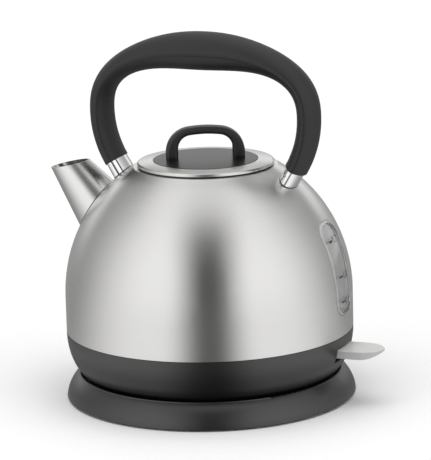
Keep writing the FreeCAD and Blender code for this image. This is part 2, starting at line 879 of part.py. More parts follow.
def make_element():
    """Tubular element: most of a ring, with a gap at the side of its terminals."""
    circle = Part.makeCircle(element_tube_r, point(element_ring_r, 0, element_z), along_y)
    section = Part.Face(Part.Wire(circle))
    return turned(section, 360.0 - element_gap_angle, 180.0 + element_gap_angle / 2)


def make_terminals(element):
    """Pins from the ends of the element to the thermostat block."""
    for side in (-1, 1):
        x, y = polar(element_ring_r, 180.0 - side * element_gap_angle / 2)
        pin = Part.makeCylinder(terminal_r, -control_half_x - x, point(x, y, element_z), along_x)
        yield pin.cut(element).Solids[-1]


def make_control_unit():
    """Thermostat block under the middle of the heater, above the connector."""
    x = (-control_half_x, control_half_x)
    y = (-control_half_y, control_half_y)
    unit = block(x, y, (housing_top_z, control_top_z))
    upright = [edge for edge in unit.Edges if abs(edge.tangentAt(edge.FirstParameter).z) > 0.5]
    return unit.makeFillet(control_corner_r, upright)


heating_element = make_element()
save("heating_plate", make_heating_plate())
save("heat_spreader", disc(spreader_r, spreader_z, floor_z))
save("heating_element", heating_element)
save("element_terminals", group(make_terminals(heating_element)))
save("control_unit", make_control_unit())
save("bimetal_discs", group(disc(bimetal_r, control_top_z, spreader_z, x, 0)
                            for x in (-bimetal_x, bimetal_x)))


# Steam tube and switch
steam_tube_low_z = switch_top_z - steam_socket_depth
steam_chamber_z = steam_tube_low_z - steam_chamber_h


def make_steam_seal():
    low = floor_z - steam_seal_lip_t
    high = floor_top_z + steam_seal_lip_t
    seal = disc(steam_seal_waist_r, floor_z, floor_top_z, steam_x, steam_y)
    seal = seal.fuse(disc(steam_seal_lip_r, floor_top_z, high, steam_x, steam_y))
    seal = seal.fuse(disc(steam_seal_lip_r, low, floor_z, steam_x, steam_y))
    return seal.cut(disc(steam_tube_r, low, high, steam_x, steam_y))


def make_switch_housing():
    """Block that holds the steam switch, with two ears that carry the lever's pin."""
    housing = block(switch_x, switch_y, (cover_top_z, switch_top_z))
    inner = lever_half_w + moving_gap
    ear_x = (lever_pivot_x - ear_back, lever_pivot_x + ear_reach)
    for y in ((-inner - ear_t, -inner), (inner, inner + ear_t)):
        housing = housing.fuse(block(ear_x, y, (ear_bottom_z, lever_top_z)))
    housing = housing.cut(lever_axle(lever_pin_r))
    housing = housing.cut(disc(steam_tube_r, steam_tube_low_z, switch_top_z, steam_x, steam_y))
    housing = housing.cut(disc(steam_bimetal_r, steam_chamber_z, steam_tube_low_z, steam_x, steam_y))
    trip_low = trip_rod_top_z - trip_rod_length - moving_gap
    return housing.cut(disc(trip_rod_r + running_gap, trip_low, switch_top_z, trip_rod_x, 0))


def lever_axle(radius):
    half = lever_half_w + moving_gap + ear_t
    return Part.makeCylinder(radius, 2 * half, point(lever_pivot_x, -half, lever_pivot_z), along_y)


def paddle_plan():
    """Outline of the lever's paddle seen from above, drawn at the height of its underside."""
    shoulder_x = lever_reach - lever_tip_length
    near = point(lever_pivot_x, -lever_half_w, lever_bottom_z)
    far = point(lever_pivot_x, lever_half_w, lever_bottom_z)
    near_shoulder = point(shoulder_x, -lever_half_w, lever_bottom_z)
    far_shoulder = point(shoulder_x, lever_half_w, lever_bottom_z)
    middle = point(shoulder_x, 0, lever_bottom_z)
    tip = Part.Ellipse(point(lever_reach, 0, lever_bottom_z), far_shoulder, middle)
    edges = [Part.ArcOfEllipse(tip, -math.pi / 2, math.pi / 2).toShape()]
    for a, b in ((far_shoulder, far), (far, near), (near, near_shoulder)):
        edges.append(Part.LineSegment(a, b).toShape())
    return Part.Face(Part.Wire(Part.__sortEdges__(edges)))


def make_lever():
    """Paddle with a rounded, thinner tip, a hub on the pin and a tail that works the trip rod."""
    rise = (lever_reach - lever_rise_length, lever_bottom_z)
    tip = (lever_reach, lever_top_z - lever_tip_t)
    side = outline(
        (lever_pivot_x, lever_bottom_z),
        rise,
        (through(rise, tip, lever_tip_t / 2), tip),
        (lever_reach, lever_top_z),
        (lever_pivot_x, lever_top_z))
    side.translate(along_y * -lever_half_w)
    paddle = paddle_plan().extrude(up * lever_t).common(side.extrude(along_y * (2 * lever_half_w)))
    front_x = lever_pivot_x + lever_edge_round
    rim = [edge for edge in paddle.Edges
           if edge.BoundBox.ZMin > lever_top_z - lever_edge_round and edge.BoundBox.XMax > front_x]
    paddle = paddle.makeFillet(lever_edge_round, rim)
    hub_start = point(lever_pivot_x, -lever_half_w, lever_pivot_z)
    hub = Part.makeCylinder(lever_hub_r, 2 * lever_half_w, hub_start, along_y)
    tail = block((lever_pivot_x - lever_tail_length, lever_pivot_x),
                 (-lever_tail_half_w, lever_tail_half_w),
                 (lever_pivot_z - lever_tail_down, lever_pivot_z + lever_tail_up))
    return paddle.fuse([hub, tail]).cut(lever_axle(lever_pin_r + running_gap)).removeSplitter()


trip_rod_top_z = lever_pivot_z - lever_tail_down - moving_gap
steam_tube_top_z = on_dome(steam_r + steam_tube_r)[1] - steam_tube_gap
lamp = Part.makeCylinder(lamp_r, lamp_length - lamp_r, point(switch_x[1], lamp_y, lamp_z), along_x)
lamp = lamp.fuse(Part.makeSphere(lamp_r, point(switch_x[1] + lamp_length - lamp_r, lamp_y, lamp_z)))

save("steam_tube", ring(steam_tube_r - steam_tube_wall, steam_tube_r, steam_tube_low_z, steam_tube_top_z,
                        steam_x, steam_y))
save("steam_seal", make_steam_seal())
save("switch_housing", make_switch_housing())
save("steam_bimetal", disc(steam_bimetal_r, steam_chamber_z, steam_chamber_z + bimetal_t, steam_x, steam_y))
save("lever_pin", lever_axle(lever_pin_r))
save("switch_lever", make_lever())
save("trip_rod", disc(trip_rod_r, trip_rod_top_z - trip_rod_length, trip_rod_top_z, trip_rod_x, 0))
save("indicator_lamp", lamp.removeSplitter())


# Lid: a steel cap with a black disc and knob on top, and a steel plug with a seal below
lid_seal_z = ledge_z + lid_seat_gap
lid_flange_z = lid_seal_z + lid_seal_t
lid_rim_z = lid_flange_z
lid_rim_top_z = lid_rim_z + lid_rim_h
lid_ring_z = lid_rim_top_z + lid_rim_round
lid_hole_r = lid_disc_r + lid_disc_gap
lid_crown_z = lid_ring_z + lid_crown
lid_pan_z = lid_crown_z - lid_disc_sink
lid_pan_under_z = lid_pan_z - lid_wall
disc_edge_z = lid_pan_z + lid_disc_edge_h
knob_top_z = disc_edge_z + knob_height
knob_leg_x = knob_half_span - knob_leg_t / 2


def lid_ring_through(a, b):
    return through(a, b, lid_crown / 4)


def make_lid_cap():
    rim_in = lid_r - lid_wall
    bend = lid_rim_round * math.sqrt(0.5)
    ring_start = (lid_r - lid_rim_round, lid_ring_z)
    ring_end = (lid_hole_r, lid_crown_z)
    under_end = (lid_hole_r + lid_wall, lid_crown_z - lid_wall)
    under_start = (lid_r - lid_rim_round, lid_ring_z - lid_wall)
    return turned(outline(
        (lid_r, lid_rim_z),
        (lid_r, lid_rim_top_z),
        ((lid_r - lid_rim_round + bend, lid_rim_top_z + bend), ring_start),
        (lid_ring_through(ring_start, ring_end), ring_end),
        (lid_hole_r, lid_pan_z),
        (0.0, lid_pan_z),
        (0.0, lid_pan_under_z),
        (lid_hole_r + lid_wall, lid_pan_under_z),
        under_end,
        (lid_ring_through(under_start, under_end), under_start),
        (rim_in, lid_rim_top_z),
        (rim_in, lid_rim_z))).cut([lid_screw_hole(side, lid_pan_under_z, lid_pan_z) for side in (-1, 1)])


def lid_screw_hole(side, low, high):
    x, y = polar(side * knob_leg_x, lid_turn)
    return disc(screw_r + screw_gap, low, high, x, y)


def knob_arch(half_span, top_z, corner):
    """Upright bar with its upper corners rounded, and between them a top that is a little crowned."""
    slope = math.radians(knob_top_slope)
    middle = (math.pi / 2 - slope) / 2
    crown_end = half_span - corner + corner * math.sin(slope)
    crown_r = crown_end / math.sin(slope)
    shoulder_z = top_z - crown_r * (1 - math.cos(slope))
    side_z = shoulder_z - corner * math.cos(slope)
    bend = (half_span - corner + corner * math.cos(middle), side_z + corner * math.sin(middle))
    return outline((-half_span, lid_pan_z), (-half_span, side_z),
                   ((-bend[0], bend[1]), (-crown_end, shoulder_z)),
                   ((0.0, top_z), (crown_end, shoulder_z)),
                   (bend, (half_span, side_z)),
                   (half_span, lid_pan_z))


def make_lid_handle():
    """One moulding: a crowned disc, and a D-shaped knob to lift the lid by."""
    edge = (lid_disc_r, disc_edge_z)
    crown = (0.0, disc_edge_z + lid_disc_crown)
    plate = turned(outline(
        (0.0, lid_pan_z),
        (lid_disc_r, lid_pan_z),
        edge,
        (through(edge, crown, lid_disc_crown / 4), crown)))
    inner_corner = knob_corner_r - knob_leg_t
    outer = knob_arch(knob_half_span, knob_top_z, knob_corner_r)
    inner = knob_arch(knob_half_span - knob_leg_t, knob_top_z - knob_bar_t, inner_corner)
    bow = outer.cut(inner)
    bow.translate(point(0, -knob_half_w, 0))
    knob = bow.extrude(along_y * (2 * knob_half_w))
    feet_z = lid_pan_z + knob_edge_round
    long_edges = [side for side in knob.Edges
                  if side.BoundBox.YLength < knob_half_w and side.BoundBox.ZMax > feet_z]
    knob = knob.makeFillet(knob_edge_round, long_edges)
    knob.rotate(origin, up, lid_turn)
    handle = plate.fuse(knob)
    top = lid_pan_z + lid_screw_bite
    return handle.cut([lid_screw_hole(side, lid_pan_z, top) for side in (-1, 1)]).removeSplitter()


def make_lid_plug():
    """Pressed cup that closes the lid's underside and guides it in the neck."""
    low = ledge_z - lid_plug_depth
    top = lid_flange_z + lid_wall
    flange_r = lid_r - lid_wall - fitting_gap
    inner_r = lid_plug_r - lid_wall
    return turned(outline(
        (0.0, low),
        (lid_plug_r, low),
        (lid_plug_r, lid_flange_z),
        (flange_r, lid_flange_z),
        (flange_r, top),
        (inner_r, top),
        (inner_r, low + lid_wall),
        (0.0, low + lid_wall)))


def make_lid_seal():
    """Soft ring round the plug, with a flange that lies on the ledge."""
    flange_r = lid_r - lid_wall - fitting_gap
    outer = neck_r - moving_gap
    low = lid_seal_z - lid_seal_depth
    return turned(outline(
        (lid_plug_r, low),
        (outer, low),
        (outer, lid_seal_z),
        (flange_r, lid_seal_z),
        (flange_r, lid_flange_z),
        (lid_plug_r, lid_flange_z)))


def make_lid_screw(side):
    x, y = polar(side * knob_leg_x, lid_turn)
    return pilot_screw(x, y, lid_pan_under_z - screw_head_h, lid_pan_z + lid_screw_bite)


save("lid_cap", make_lid_cap())
save("lid_handle", make_lid_handle())
save("lid_plug", make_lid_plug())
save("lid_seal", make_lid_seal())
save("lid_screws", group(make_lid_screw(side) for side in (-1, 1)))
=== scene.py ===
import math

import bmesh
import bpy
from mathutils import Matrix, Vector


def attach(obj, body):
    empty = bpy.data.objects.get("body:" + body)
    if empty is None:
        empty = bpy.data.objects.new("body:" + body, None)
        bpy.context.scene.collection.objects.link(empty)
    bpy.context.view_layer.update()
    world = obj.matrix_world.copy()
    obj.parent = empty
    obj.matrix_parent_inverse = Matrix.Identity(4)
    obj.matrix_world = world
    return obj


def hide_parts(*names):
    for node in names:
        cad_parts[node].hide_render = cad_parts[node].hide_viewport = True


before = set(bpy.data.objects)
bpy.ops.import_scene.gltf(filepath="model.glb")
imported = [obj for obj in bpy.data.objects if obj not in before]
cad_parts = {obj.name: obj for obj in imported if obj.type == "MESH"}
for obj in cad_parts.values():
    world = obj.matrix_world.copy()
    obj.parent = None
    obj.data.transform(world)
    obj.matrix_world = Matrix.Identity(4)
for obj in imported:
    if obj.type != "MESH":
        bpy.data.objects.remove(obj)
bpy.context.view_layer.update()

# Power base: a shallow black moulding with a dished top, screwed to a flat bottom plate. Both are filled
# polypropylene with a fine spark-eroded grain, which leaves a soft satin sheen. The cover under the
# kettle is the same plastic.


class Field:
    """A value that changes over a surface. Sums and products of fields add their own Math nodes."""

    def __init__(self, finish, socket):
        self.finish = finish
        self.socket = socket

    def math(self, operation, first, second=0.0):
        return self.finish.node("Math", {"operation": operation}, {0: first, 1: second})

    def __add__(self, other):
        return self.math("ADD", self, other)

    def __radd__(self, other):
        return self.math("ADD", other, self)

    def __sub__(self, other):
        return self.math("SUBTRACT", self, other)

    def __rsub__(self, other):
        return self.math("SUBTRACT", other, self)

    def __mul__(self, other):
        return self.math("MULTIPLY", self, other)

    def __rmul__(self, other):
        return self.math("MULTIPLY", other, self)

    def __truediv__(self, other):
        return self.math("DIVIDE", self, other)

    def root(self):
        return self.math("SQRT", self)

    def magnitude(self):
        return self.math("ABSOLUTE", self)

    def larger(self, other):
        return self.math("MAXIMUM", self, other)

    def between(self, low, high):
        """0 below low, 1 above high, and a smooth rise between them."""
        return self.finish.node("MapRange", {"interpolation_type": "SMOOTHSTEP"},
                                {"Value": self, "From Min": low, "From Max": high})


class Finish:
    """The nodes of one material, round its Principled shader."""

    def __init__(self, name, **constants):
        self.material = bpy.data.materials.new(name)
        self.material.use_nodes = True
        self.tree = self.material.node_tree
        self.shader = self.tree.nodes["Principled BSDF"]
        for socket, value in constants.items():
            self.set(socket.replace("_", " ").title().replace("Ior", "IOR"), value)

    def node(self, kind, settings, inputs, output=0):
        made = self.tree.nodes.new("ShaderNode" + kind)
        for name, value in settings.items():
            setattr(made, name, value)
        for name, value in inputs.items():
            self.feed(made.inputs[name], value)
        return Field(self, made.outputs[output])

    def feed(self, socket, value):
        if isinstance(value, Field):
            self.tree.links.new(value.socket, socket)
        else:
            socket.default_value = value

    def set(self, socket, value):
        self.feed(self.shader.inputs[socket], value)

    def split(self, vector):
        """The three parts of a vector, as fields."""
        parts = self.node("SeparateXYZ", {}, {"Vector": vector})
        return [Field(self, socket) for socket in parts.socket.node.outputs]

    def joined(self, x, y, z):
        return self.node("CombineXYZ", {}, {"X": x, "Y": y, "Z": z})

    def place(self):
        """The point of the surface, in metres, as three fields."""
        return self.split(self.node("TexCoord", {}, {}, "Object"))

    def noise(self, vector, scale, detail):
        return self.node("TexNoise", {}, {"Vector": vector, "Scale": scale, "Detail": detail})

    def grain(self, per_metre, detail=2.0):
        """Noise that is as coarse in every direction, with so many grains to the metre."""
        return self.noise(self.node("TexCoord", {}, {}, "Object"), per_metre, detail)

    def mixed(self, share, first, second):
        """From the first colour to the second. They are sockets 6 and 7 of Blender's Mix node."""
        return self.node("Mix", {"data_type": "RGBA"}, {0: share, 6: first, 7: second}, 2)

    def bumped(self, height, strength, distance):
        bump = self.node("Bump", {}, {"Height": height, "Strength": strength, "Distance": distance})
        self.set("Normal", bump)


def wear(finish, *names):
    """Gives CAD nodes a finish."""
    for name in names:
        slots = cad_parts[name].data.materials
        slots.clear()
        slots.append(finish.material)


mould_clouds = 38.0
mould_grain_depth = 0.00006


def moulded(name, dark, light, rough, grain, bump, gloss=0.5):
    """Plastic or rubber with a fine grain, and with slow changes of tone and sheen across the surface."""
    finish = Finish(name, specular_ior_level=gloss)
    fine = finish.grain(grain, detail=3.0)
    slow = finish.grain(mould_clouds)
    finish.set("Base Color", finish.mixed(slow * 0.7 + fine * 0.3, dark, light))
    finish.set("Roughness", rough - 0.06 + 0.12 * slow + 0.05 * fine)
    finish.bumped(fine, bump, mould_grain_depth)
    return finish


satin_black = moulded("satin_black_moulding", dark=(0.006, 0.0059, 0.0057, 1),
                      light=(0.011, 0.0108, 0.0105, 1), rough=0.31, grain=2600.0, bump=0.3, gloss=0.95)
wear(satin_black, "base_cover", "base_plate", "bottom_cover")

# Round connector: a dark heat-proof moulding in the base, with brass contacts in its wells, and its
# counterpart with a pin and two rings under the kettle. The thermostat block, the switch block and the
# switch's rod are the same moulding, and their discs and terminals have the colour of brass.
dark_moulding = moulded("heatproof_moulding", dark=(0.06, 0.06, 0.06, 1), light=(0.09, 0.09, 0.088, 1),
                        rough=0.5, grain=1800.0, bump=0.3)
wear(dark_moulding, "base_socket", "connector_housing", "control_unit", "switch_housing", "trip_rod")

metal_clouds = 90.0
metal_grain = 900.0
metal_grain_depth = 0.00004


def plain_metal(name, dark, light, rough):
    """Metal as it comes from the press or the lathe."""
    finish = Finish(name, metallic=1.0)
    slow = finish.grain(metal_clouds)
    fine = finish.grain(metal_grain, detail=3.0)
    finish.set("Base Color", finish.mixed(slow, dark, light))
    finish.set("Roughness", rough - 0.05 + 0.1 * fine)
    finish.bumped(fine, 0.1, metal_grain_depth)
    return finish


brass = plain_metal("contact_brass", dark=(0.62, 0.44, 0.18, 1), light=(0.78, 0.60, 0.30, 1), rough=0.3)
wear(brass, "base_contacts", "connector_pin", "contact_rings", "element_terminals", "bimetal_discs",
     "steam_bimetal")

# Feet, seals and cord bush: soft black rubber, moulded with a dull skin. The feet stand under the base,
# one seal goes round the lid's plug, and one holds the steam tube in the water floor.
rubber = moulded("soft_black_rubber", dark=(0.014, 0.014, 0.014, 1), light=(0.028, 0.028, 0.027, 1),
                 rough=0.72, grain=1500.0, bump=0.4)
wear(rubber, "base_feet", "cord_gland", "steam_seal", "lid_seal")

# Screws, posts, water floor and other inner steel: plain pressed or turned steel with a light oil bloom.
# Most of it shows only when the lid is off or the kettle is taken apart.
inner_steel = plain_metal("inner_steel", dark=(0.50, 0.50, 0.49, 1), light=(0.62, 0.61, 0.60, 1), rough=0.32)
wear(inner_steel, "heating_plate", "lid_plug", "steam_tube", "gauge_clamp", "gauge_studs", "body_posts",
     "handle_saddles", "handle_screws", "bottom_screws", "base_screws", "lid_screws", "lever_pin")

# Heater: an aluminium plate with a tubular element brazed under it. The plate lies against the underside
# of the steel water floor.
cast_aluminium = plain_metal("heater_aluminium", dark=(0.60, 0.60, 0.60, 1), light=(0.72, 0.72, 0.72, 1),
                             rough=0.45)
wear(cast_aluminium, "heat_spreader", "heating_element")

# Collar: a black moulded skirt round the heater, the same plastic as the base. It goes round under the
# steel body and has the slot that the lever comes out of.
wear(satin_black, "collar")

# Steel body and lid cap: drawn stainless steel, brushed round the upright axis of the body. The brush
# marks run level, so that reflections smear up and down the body into upright bands.
axis_x = -0.0049
steel_dark = (0.65, 0.646, 0.632, 1)
steel_light = (0.77, 0.765, 0.75, 1)
strokes_round = 26.0
strokes_up = 3800.0
stroke_depth = 0.00003
steel_clouds = 16.0


def brushed(name, rough):
    """Steel with level brush marks. Its colour is kept beside it, for a finish that covers part of it."""
    finish = Finish(name, metallic=1.0, anisotropic=0.85, anisotropic_rotation=0.25)
    x, y, z = finish.place()
    x = x - axis_x
    along = z - (x * x + y * y).root()
    brush = finish.joined(x * strokes_round, y * strokes_round, along * strokes_up)
    stroke = finish.noise(brush, scale=1.0, detail=3.0)
    cloud = finish.grain(steel_clouds)
    finish.colour = finish.mixed(stroke * 0.6 + cloud * 0.4, steel_dark, steel_light)
    finish.set("Base Color", finish.colour)
    finish.set("Roughness", rough - 0.07 + 0.12 * stroke + 0.04 * cloud)
    finish.bumped(stroke, 0.08, stroke_depth)
    return finish


body_steel = brushed("brushed_body_steel", rough=0.30)
wear(body_steel, "body_shell", "lid_cap")

# Spout: a rolled steel cone, brushed like the body and welded to it by a narrow flange. The dark line
# where the flange's edge meets the dome is partly the weld's bloom and partly painted shade in the crease at
# its root.
dome_r = 0.095
dome_height = 0.098
dome_start_z = 0.069
bloom_and_shade_height = 0.00042
bloom_and_painted_shade = (0.05, 0.048, 0.045, 1)


def above_dome(finish):
    """Height of the surface above the dome, in metres."""
    x, y, z = finish.place()
    x = x - axis_x
    z = z - dome_start_z
    return (((x * x + y * y) / dome_r ** 2 + z * z / dome_height ** 2).root() - 1) * dome_r


spout_steel = brushed("brushed_spout_steel", rough=0.26)
# Close above the dome the spout takes the dark colour: weld bloom and painted shade at its root.
past_bloom_and_shade = above_dome(spout_steel).between(bloom_and_shade_height, 1.25 * bloom_and_shade_height)
spout_steel.set("Base Color", spout_steel.mixed(past_bloom_and_shade, bloom_and_painted_shade, spout_steel.colour))
wear(spout_steel, "spout")

# Handle: a thick arch of soft-touch black moulding, screwed to two bright oval sleeves. Its skin is
# duller than the base, with a finer grain.
soft_black = moulded("soft_touch_grip", dark=(0.010, 0.0098, 0.0095, 1), light=(0.019, 0.0186, 0.018, 1),
                     rough=0.46, grain=3000.0, bump=0.5)
wear(soft_black, "handle_grip")

# Ferrules: die-cast sleeves between grip and body, polished and chromed. A thin black gasket shows
# where each one stands on the curved steel.
gasket_top = 0.0005
gasket_black = (0.012, 0.012, 0.012, 1)
gasket_rough = 0.45
chrome_bright = (0.86, 0.86, 0.87, 1)
chrome_polish = 0.42
chrome = Finish("polished_chrome", specular_ior_level=0.5)
bright = above_dome(chrome).between(gasket_top, 1.3 * gasket_top)
smudge = chrome.grain(140.0, detail=3.0)
chrome.set("Base Color", chrome.mixed(bright, gasket_black, chrome_bright))
chrome.set("Metallic", bright)
chrome.set("Roughness", gasket_rough - chrome_polish * bright + 0.05 * smudge)
wear(chrome, "front_ferrule", "rear_ferrule")

# Water gauge: a clear polycarbonate lens in a cut-out of the steel, a little proud of it and clamped from
# inside. Its rounded rim is matt and catches the light. It is modelled flat, then wrapped onto the dome.
gauge_mid_z = 0.090
gauge_half = (0.01395, 0.03045)
gauge_corner = 0.011
gauge_proud = 0.0008
gauge_back = 0.0033
gauge_edge_round = 0.0012
wrap_step = 0.003
crease = math.radians(32)
turn_outward = Matrix(((0, 0, 1), (1, 0, 0), (0, 1, 0))).to_4x4()
lens_hazy = (0.93, 0.935, 0.93, 1)
lens_clear = (0.98, 0.985, 0.98, 1)
rim_dark = (0.50, 0.50, 0.495, 1)
rim_light = (0.63, 0.63, 0.625, 1)


def rounded_slab(half, corner, front, back):
    """Flat slab with rounded corners that faces +x, in a bmesh of its own."""
    shape = bmesh.new()
    bmesh.ops.create_grid(shape, x_segments=1, y_segments=1, size=1.0)
    bmesh.ops.scale(shape, vec=(half[0], half[1], 1.0), verts=shape.verts)
    seat = Matrix.Translation((back, 0.0, gauge_mid_z))
    bmesh.ops.transform(shape, matrix=seat @ turn_outward, verts=shape.verts)
    bmesh.ops.bevel(shape, geom=shape.verts[:], offset=corner, offset_type="OFFSET", segments=8, profile=0.5,
                    affect="VERTICES", material=-1)
    raised = bmesh.ops.extrude_face_region(shape, geom=shape.faces[:])["geom"]
    lifted = [part for part in raised if isinstance(part, bmesh.types.BMVert)]
    bmesh.ops.translate(shape, vec=(front - back, 0.0, 0.0), verts=lifted)
    bmesh.ops.recalc_face_normals(shape, faces=shape.faces)
    return shape


def wrapped(shape, name, finish):
    """Cuts a flat shape into short strips, lays it on the dome and makes a smooth-shaded piece of it."""
    for axis in (1, 2):
        normal = Vector((0.0, 0.0, 0.0))
        normal[axis] = 1.0
        reach = [vertex.co[axis] for vertex in shape.verts]
        for step in range(math.ceil(min(reach) / wrap_step), math.ceil(max(reach) / wrap_step)):
            bmesh.ops.bisect_plane(shape, geom=shape.verts[:] + shape.edges[:] + shape.faces[:],
                                   plane_co=normal * step * wrap_step, plane_no=normal)
    for vertex in shape.verts:
        height, side, z = vertex.co
        climb = max(z - dome_start_z, 0.0) / (dome_height + height)
        radius = (dome_r + height) * math.sqrt(1.0 - climb ** 2)
        vertex.co.x = axis_x + math.sqrt(radius ** 2 - side ** 2)
    for face in shape.faces:
        face.smooth = True
    for edge in shape.edges:
        edge.smooth = edge.calc_face_angle(0.0) < crease
    mesh = bpy.data.meshes.new(name)
    shape.to_mesh(mesh)
    shape.free()
    mesh.materials.append(finish.material)
    piece = bpy.data.objects.new(name, mesh)
    bpy.context.scene.collection.objects.link(piece)
    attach(piece, "kettle")
    return piece


clear = Finish("clear_gauge_lens", ior=1.49, transmission_weight=1.0)
haze = clear.grain(300.0)
clear.set("Base Color", clear.mixed(haze, lens_hazy, lens_clear))
clear.set("Roughness", 0.03 + 0.05 * haze)
matt = Finish("matt_lens_rim", ior=1.49, transmission_weight=0.15)
scuff = matt.grain(900.0, detail=3.0)
matt.set("Base Color", matt.mixed(scuff, rim_dark, rim_light))
matt.set("Roughness", 0.22 + 0.2 * scuff)
pane = rounded_slab(gauge_half, gauge_corner, gauge_proud, -gauge_back)
pane_front = max(pane.faces, key=lambda face: face.calc_center_median().x)
rim = bmesh.ops.bevel(pane, geom=pane_front.edges[:], offset=gauge_edge_round, offset_type="OFFSET",
                      segments=4, profile=0.5, affect="EDGES", material=-1)["faces"]
for face in rim:
    face.material_index = 1
gauge_pane = wrapped(pane, "gauge_pane", clear)
gauge_pane.data.materials.append(matt.material)
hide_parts("gauge_lens")

# Gauge seal: a band of pale silicone, squeezed between the steel and the edge that the lens has behind it.
# It follows the dome round the cut-out.
silicone_dark = (0.40, 0.40, 0.395, 1)
silicone_light = (0.50, 0.50, 0.495, 1)
silicone = Finish("pale_gauge_silicone", specular_ior_level=0.4)
cloudy = silicone.grain(260.0, detail=3.0)
silicone.set("Base Color", silicone.mixed(cloudy, silicone_dark, silicone_light))
silicone.set("Roughness", 0.42 + 0.2 * cloudy)
wear(silicone, "gauge_seal")

# Scale strip: a pale frosted strip just behind the lens. The litre bars and numbers on the lens stand out
# against it.
scale_half = (0.0088, 0.0262)
scale_corner = 0.006
scale_t = 0.0005
scale_front = -gauge_back - 0.0001
strip_dark = (0.52, 0.52, 0.515, 1)
strip_light = (0.60, 0.60, 0.595, 1)
pale = Finish("frosted_scale_strip", specular_ior_level=0.3)
frost = pale.grain(700.0, detail=3.0)
pale.set("Base Color", pale.mixed(frost, strip_dark, strip_light))
pale.set("Roughness", 0.5 + 0.2 * frost)
strip = rounded_slab(scale_half, scale_corner, scale_front, scale_front - scale_t)
scale_strip = wrapped(strip, "gauge_scale_strip", pale)

# Scale print: dark bars and plain litre numbers, printed on the front of the lens. The ink stands a
# twentieth of a millimetre proud.
litre_marks = (("1.7", 0.1085), ("1.0", 0.0855), ("0.5", 0.0690))
ink_proud = 0.00005
ink_sunk = 0.0001
bar_half = (0.0026, 0.0006)
bar_corner = 0.0003
bar_side = -0.0052
number_size = 0.0062
number_side = -0.0018
ink_dark = (0.015, 0.015, 0.017, 1)
ink_light = (0.04, 0.04, 0.042, 1)
ink = Finish("scale_ink", roughness=0.5)
blot = ink.grain(2500.0)
ink.set("Base Color", ink.mixed(blot, ink_dark, ink_light))
for litres, mark_z in litre_marks:
    mark_shape = rounded_slab(bar_half, bar_corner, gauge_proud + ink_proud, gauge_proud - ink_sunk)
    bmesh.ops.translate(mark_shape, vec=(0.0, bar_side, mark_z - gauge_mid_z), verts=mark_shape.verts)
    digits = bpy.data.curves.new("litres_" + litres, "FONT")
    digits.body = litres
    digits.size = number_size
    digits.align_y = "CENTER"
    digits.extrude = ink_proud
    digits_holder = bpy.data.objects.new("litres_" + litres, digits)
    flat_digits = bpy.data.meshes.new_from_object(digits_holder)
    flat_digits.transform(Matrix.Translation((gauge_proud, number_side, mark_z)) @ turn_outward)
    mark_shape.from_mesh(flat_digits)
    bpy.data.objects.remove(digits_holder)
    bpy.data.meshes.remove(flat_digits)
    mark = wrapped(mark_shape, "gauge_mark_" + litres, ink)

# Lever: a frosted, translucent paddle that lights up from the lamp behind it. It is moulded in one piece
# and turns on a steel pin in the switch.
lever_dark = (0.74, 0.74, 0.727, 1)
lever_light = (0.85, 0.85, 0.836, 1)
frosted = Finish("frosted_lever", ior=1.49, transmission_weight=0.25, subsurface_weight=0.3,
                 subsurface_radius=(0.004, 0.004, 0.004))
milk = frosted.grain(220.0)
frosted.set("Base Color", frosted.mixed(milk, lever_dark, lever_light))
frosted.set("Roughness", 0.24 + 0.15 * milk)
wear(frosted, "switch_lever")

# Lamp: a small amber indicator behind the lever, a clear coloured moulding that shines through the
# paddle when the kettle is on.
amber_dark = (0.85, 0.30, 0.08, 1)
amber_light = (0.95, 0.45, 0.15, 1)
amber = Finish("amber_lamp", ior=1.5, transmission_weight=0.8, roughness=0.15)
swirl = amber.grain(500.0)
amber.set("Base Color", amber.mixed(swirl, amber_dark, amber_light))
wear(amber, "indicator_lamp")

# Lid top: one black moulding, a smooth disc with a D-shaped knob, screwed to the lid from below. The
# knob is a little duller and lighter than the disc.
knob_foot_z = 0.1592
knob_clear_z = 0.162
disc_dark = (0.006, 0.006, 0.006, 1)
disc_light = (0.011, 0.0108, 0.0105, 1)
knob_dark = (0.017, 0.0166, 0.016, 1)
knob_light = (0.027, 0.0265, 0.026, 1)
gloss_black = Finish("gloss_black_lid", specular_ior_level=0.5)
streak = gloss_black.grain(600.0, detail=3.0)
on_knob = gloss_black.place()[2].between(knob_foot_z, knob_clear_z)
disc_black = gloss_black.mixed(streak, disc_dark, disc_light)
knob_black = gloss_black.mixed(streak, knob_dark, knob_light)
gloss_black.set("Base Color", gloss_black.mixed(on_knob, disc_black, knob_black))
gloss_black.set("Roughness", 0.27 + 0.08 * streak + 0.12 * on_knob)
wear(gloss_black, "lid_handle")

# Floor: a white paper sweep. It keeps the kettle's soft shadow close by, and further out it is plain white
# where the camera or glass looks at it. Where steel mirrors it, it is pale, with a dark strip towards the
# viewer, as from a dark card that lies on the sweep.
view_turn = math.radians(21.5)
floor_half = 6.0
shadow_r = 0.12
plain_r = 0.40
gap_sides = (0.06, 0.55)
gap_front = (0.0, 0.4)
wall_turn = (-0.70, 0.65)
card_depth = 0.87
floor_back = 0.30
floor_gain = 0.72
painted_shadow_r = (0.11, 0.17)
black = (0.0, 0.0, 0.0, 1)
plain_white = (1.0, 1.0, 1.0, 1)
paper_dark = (0.92, 0.92, 0.92, 1)
paper_light = (0.94, 0.94, 0.94, 1)


def ray(finish, kind):
    """1 for rays of one kind, such as Camera or Glossy, and 0 for all others."""
    return finish.node("LightPath", {}, {}, "Is %s Ray" % kind)


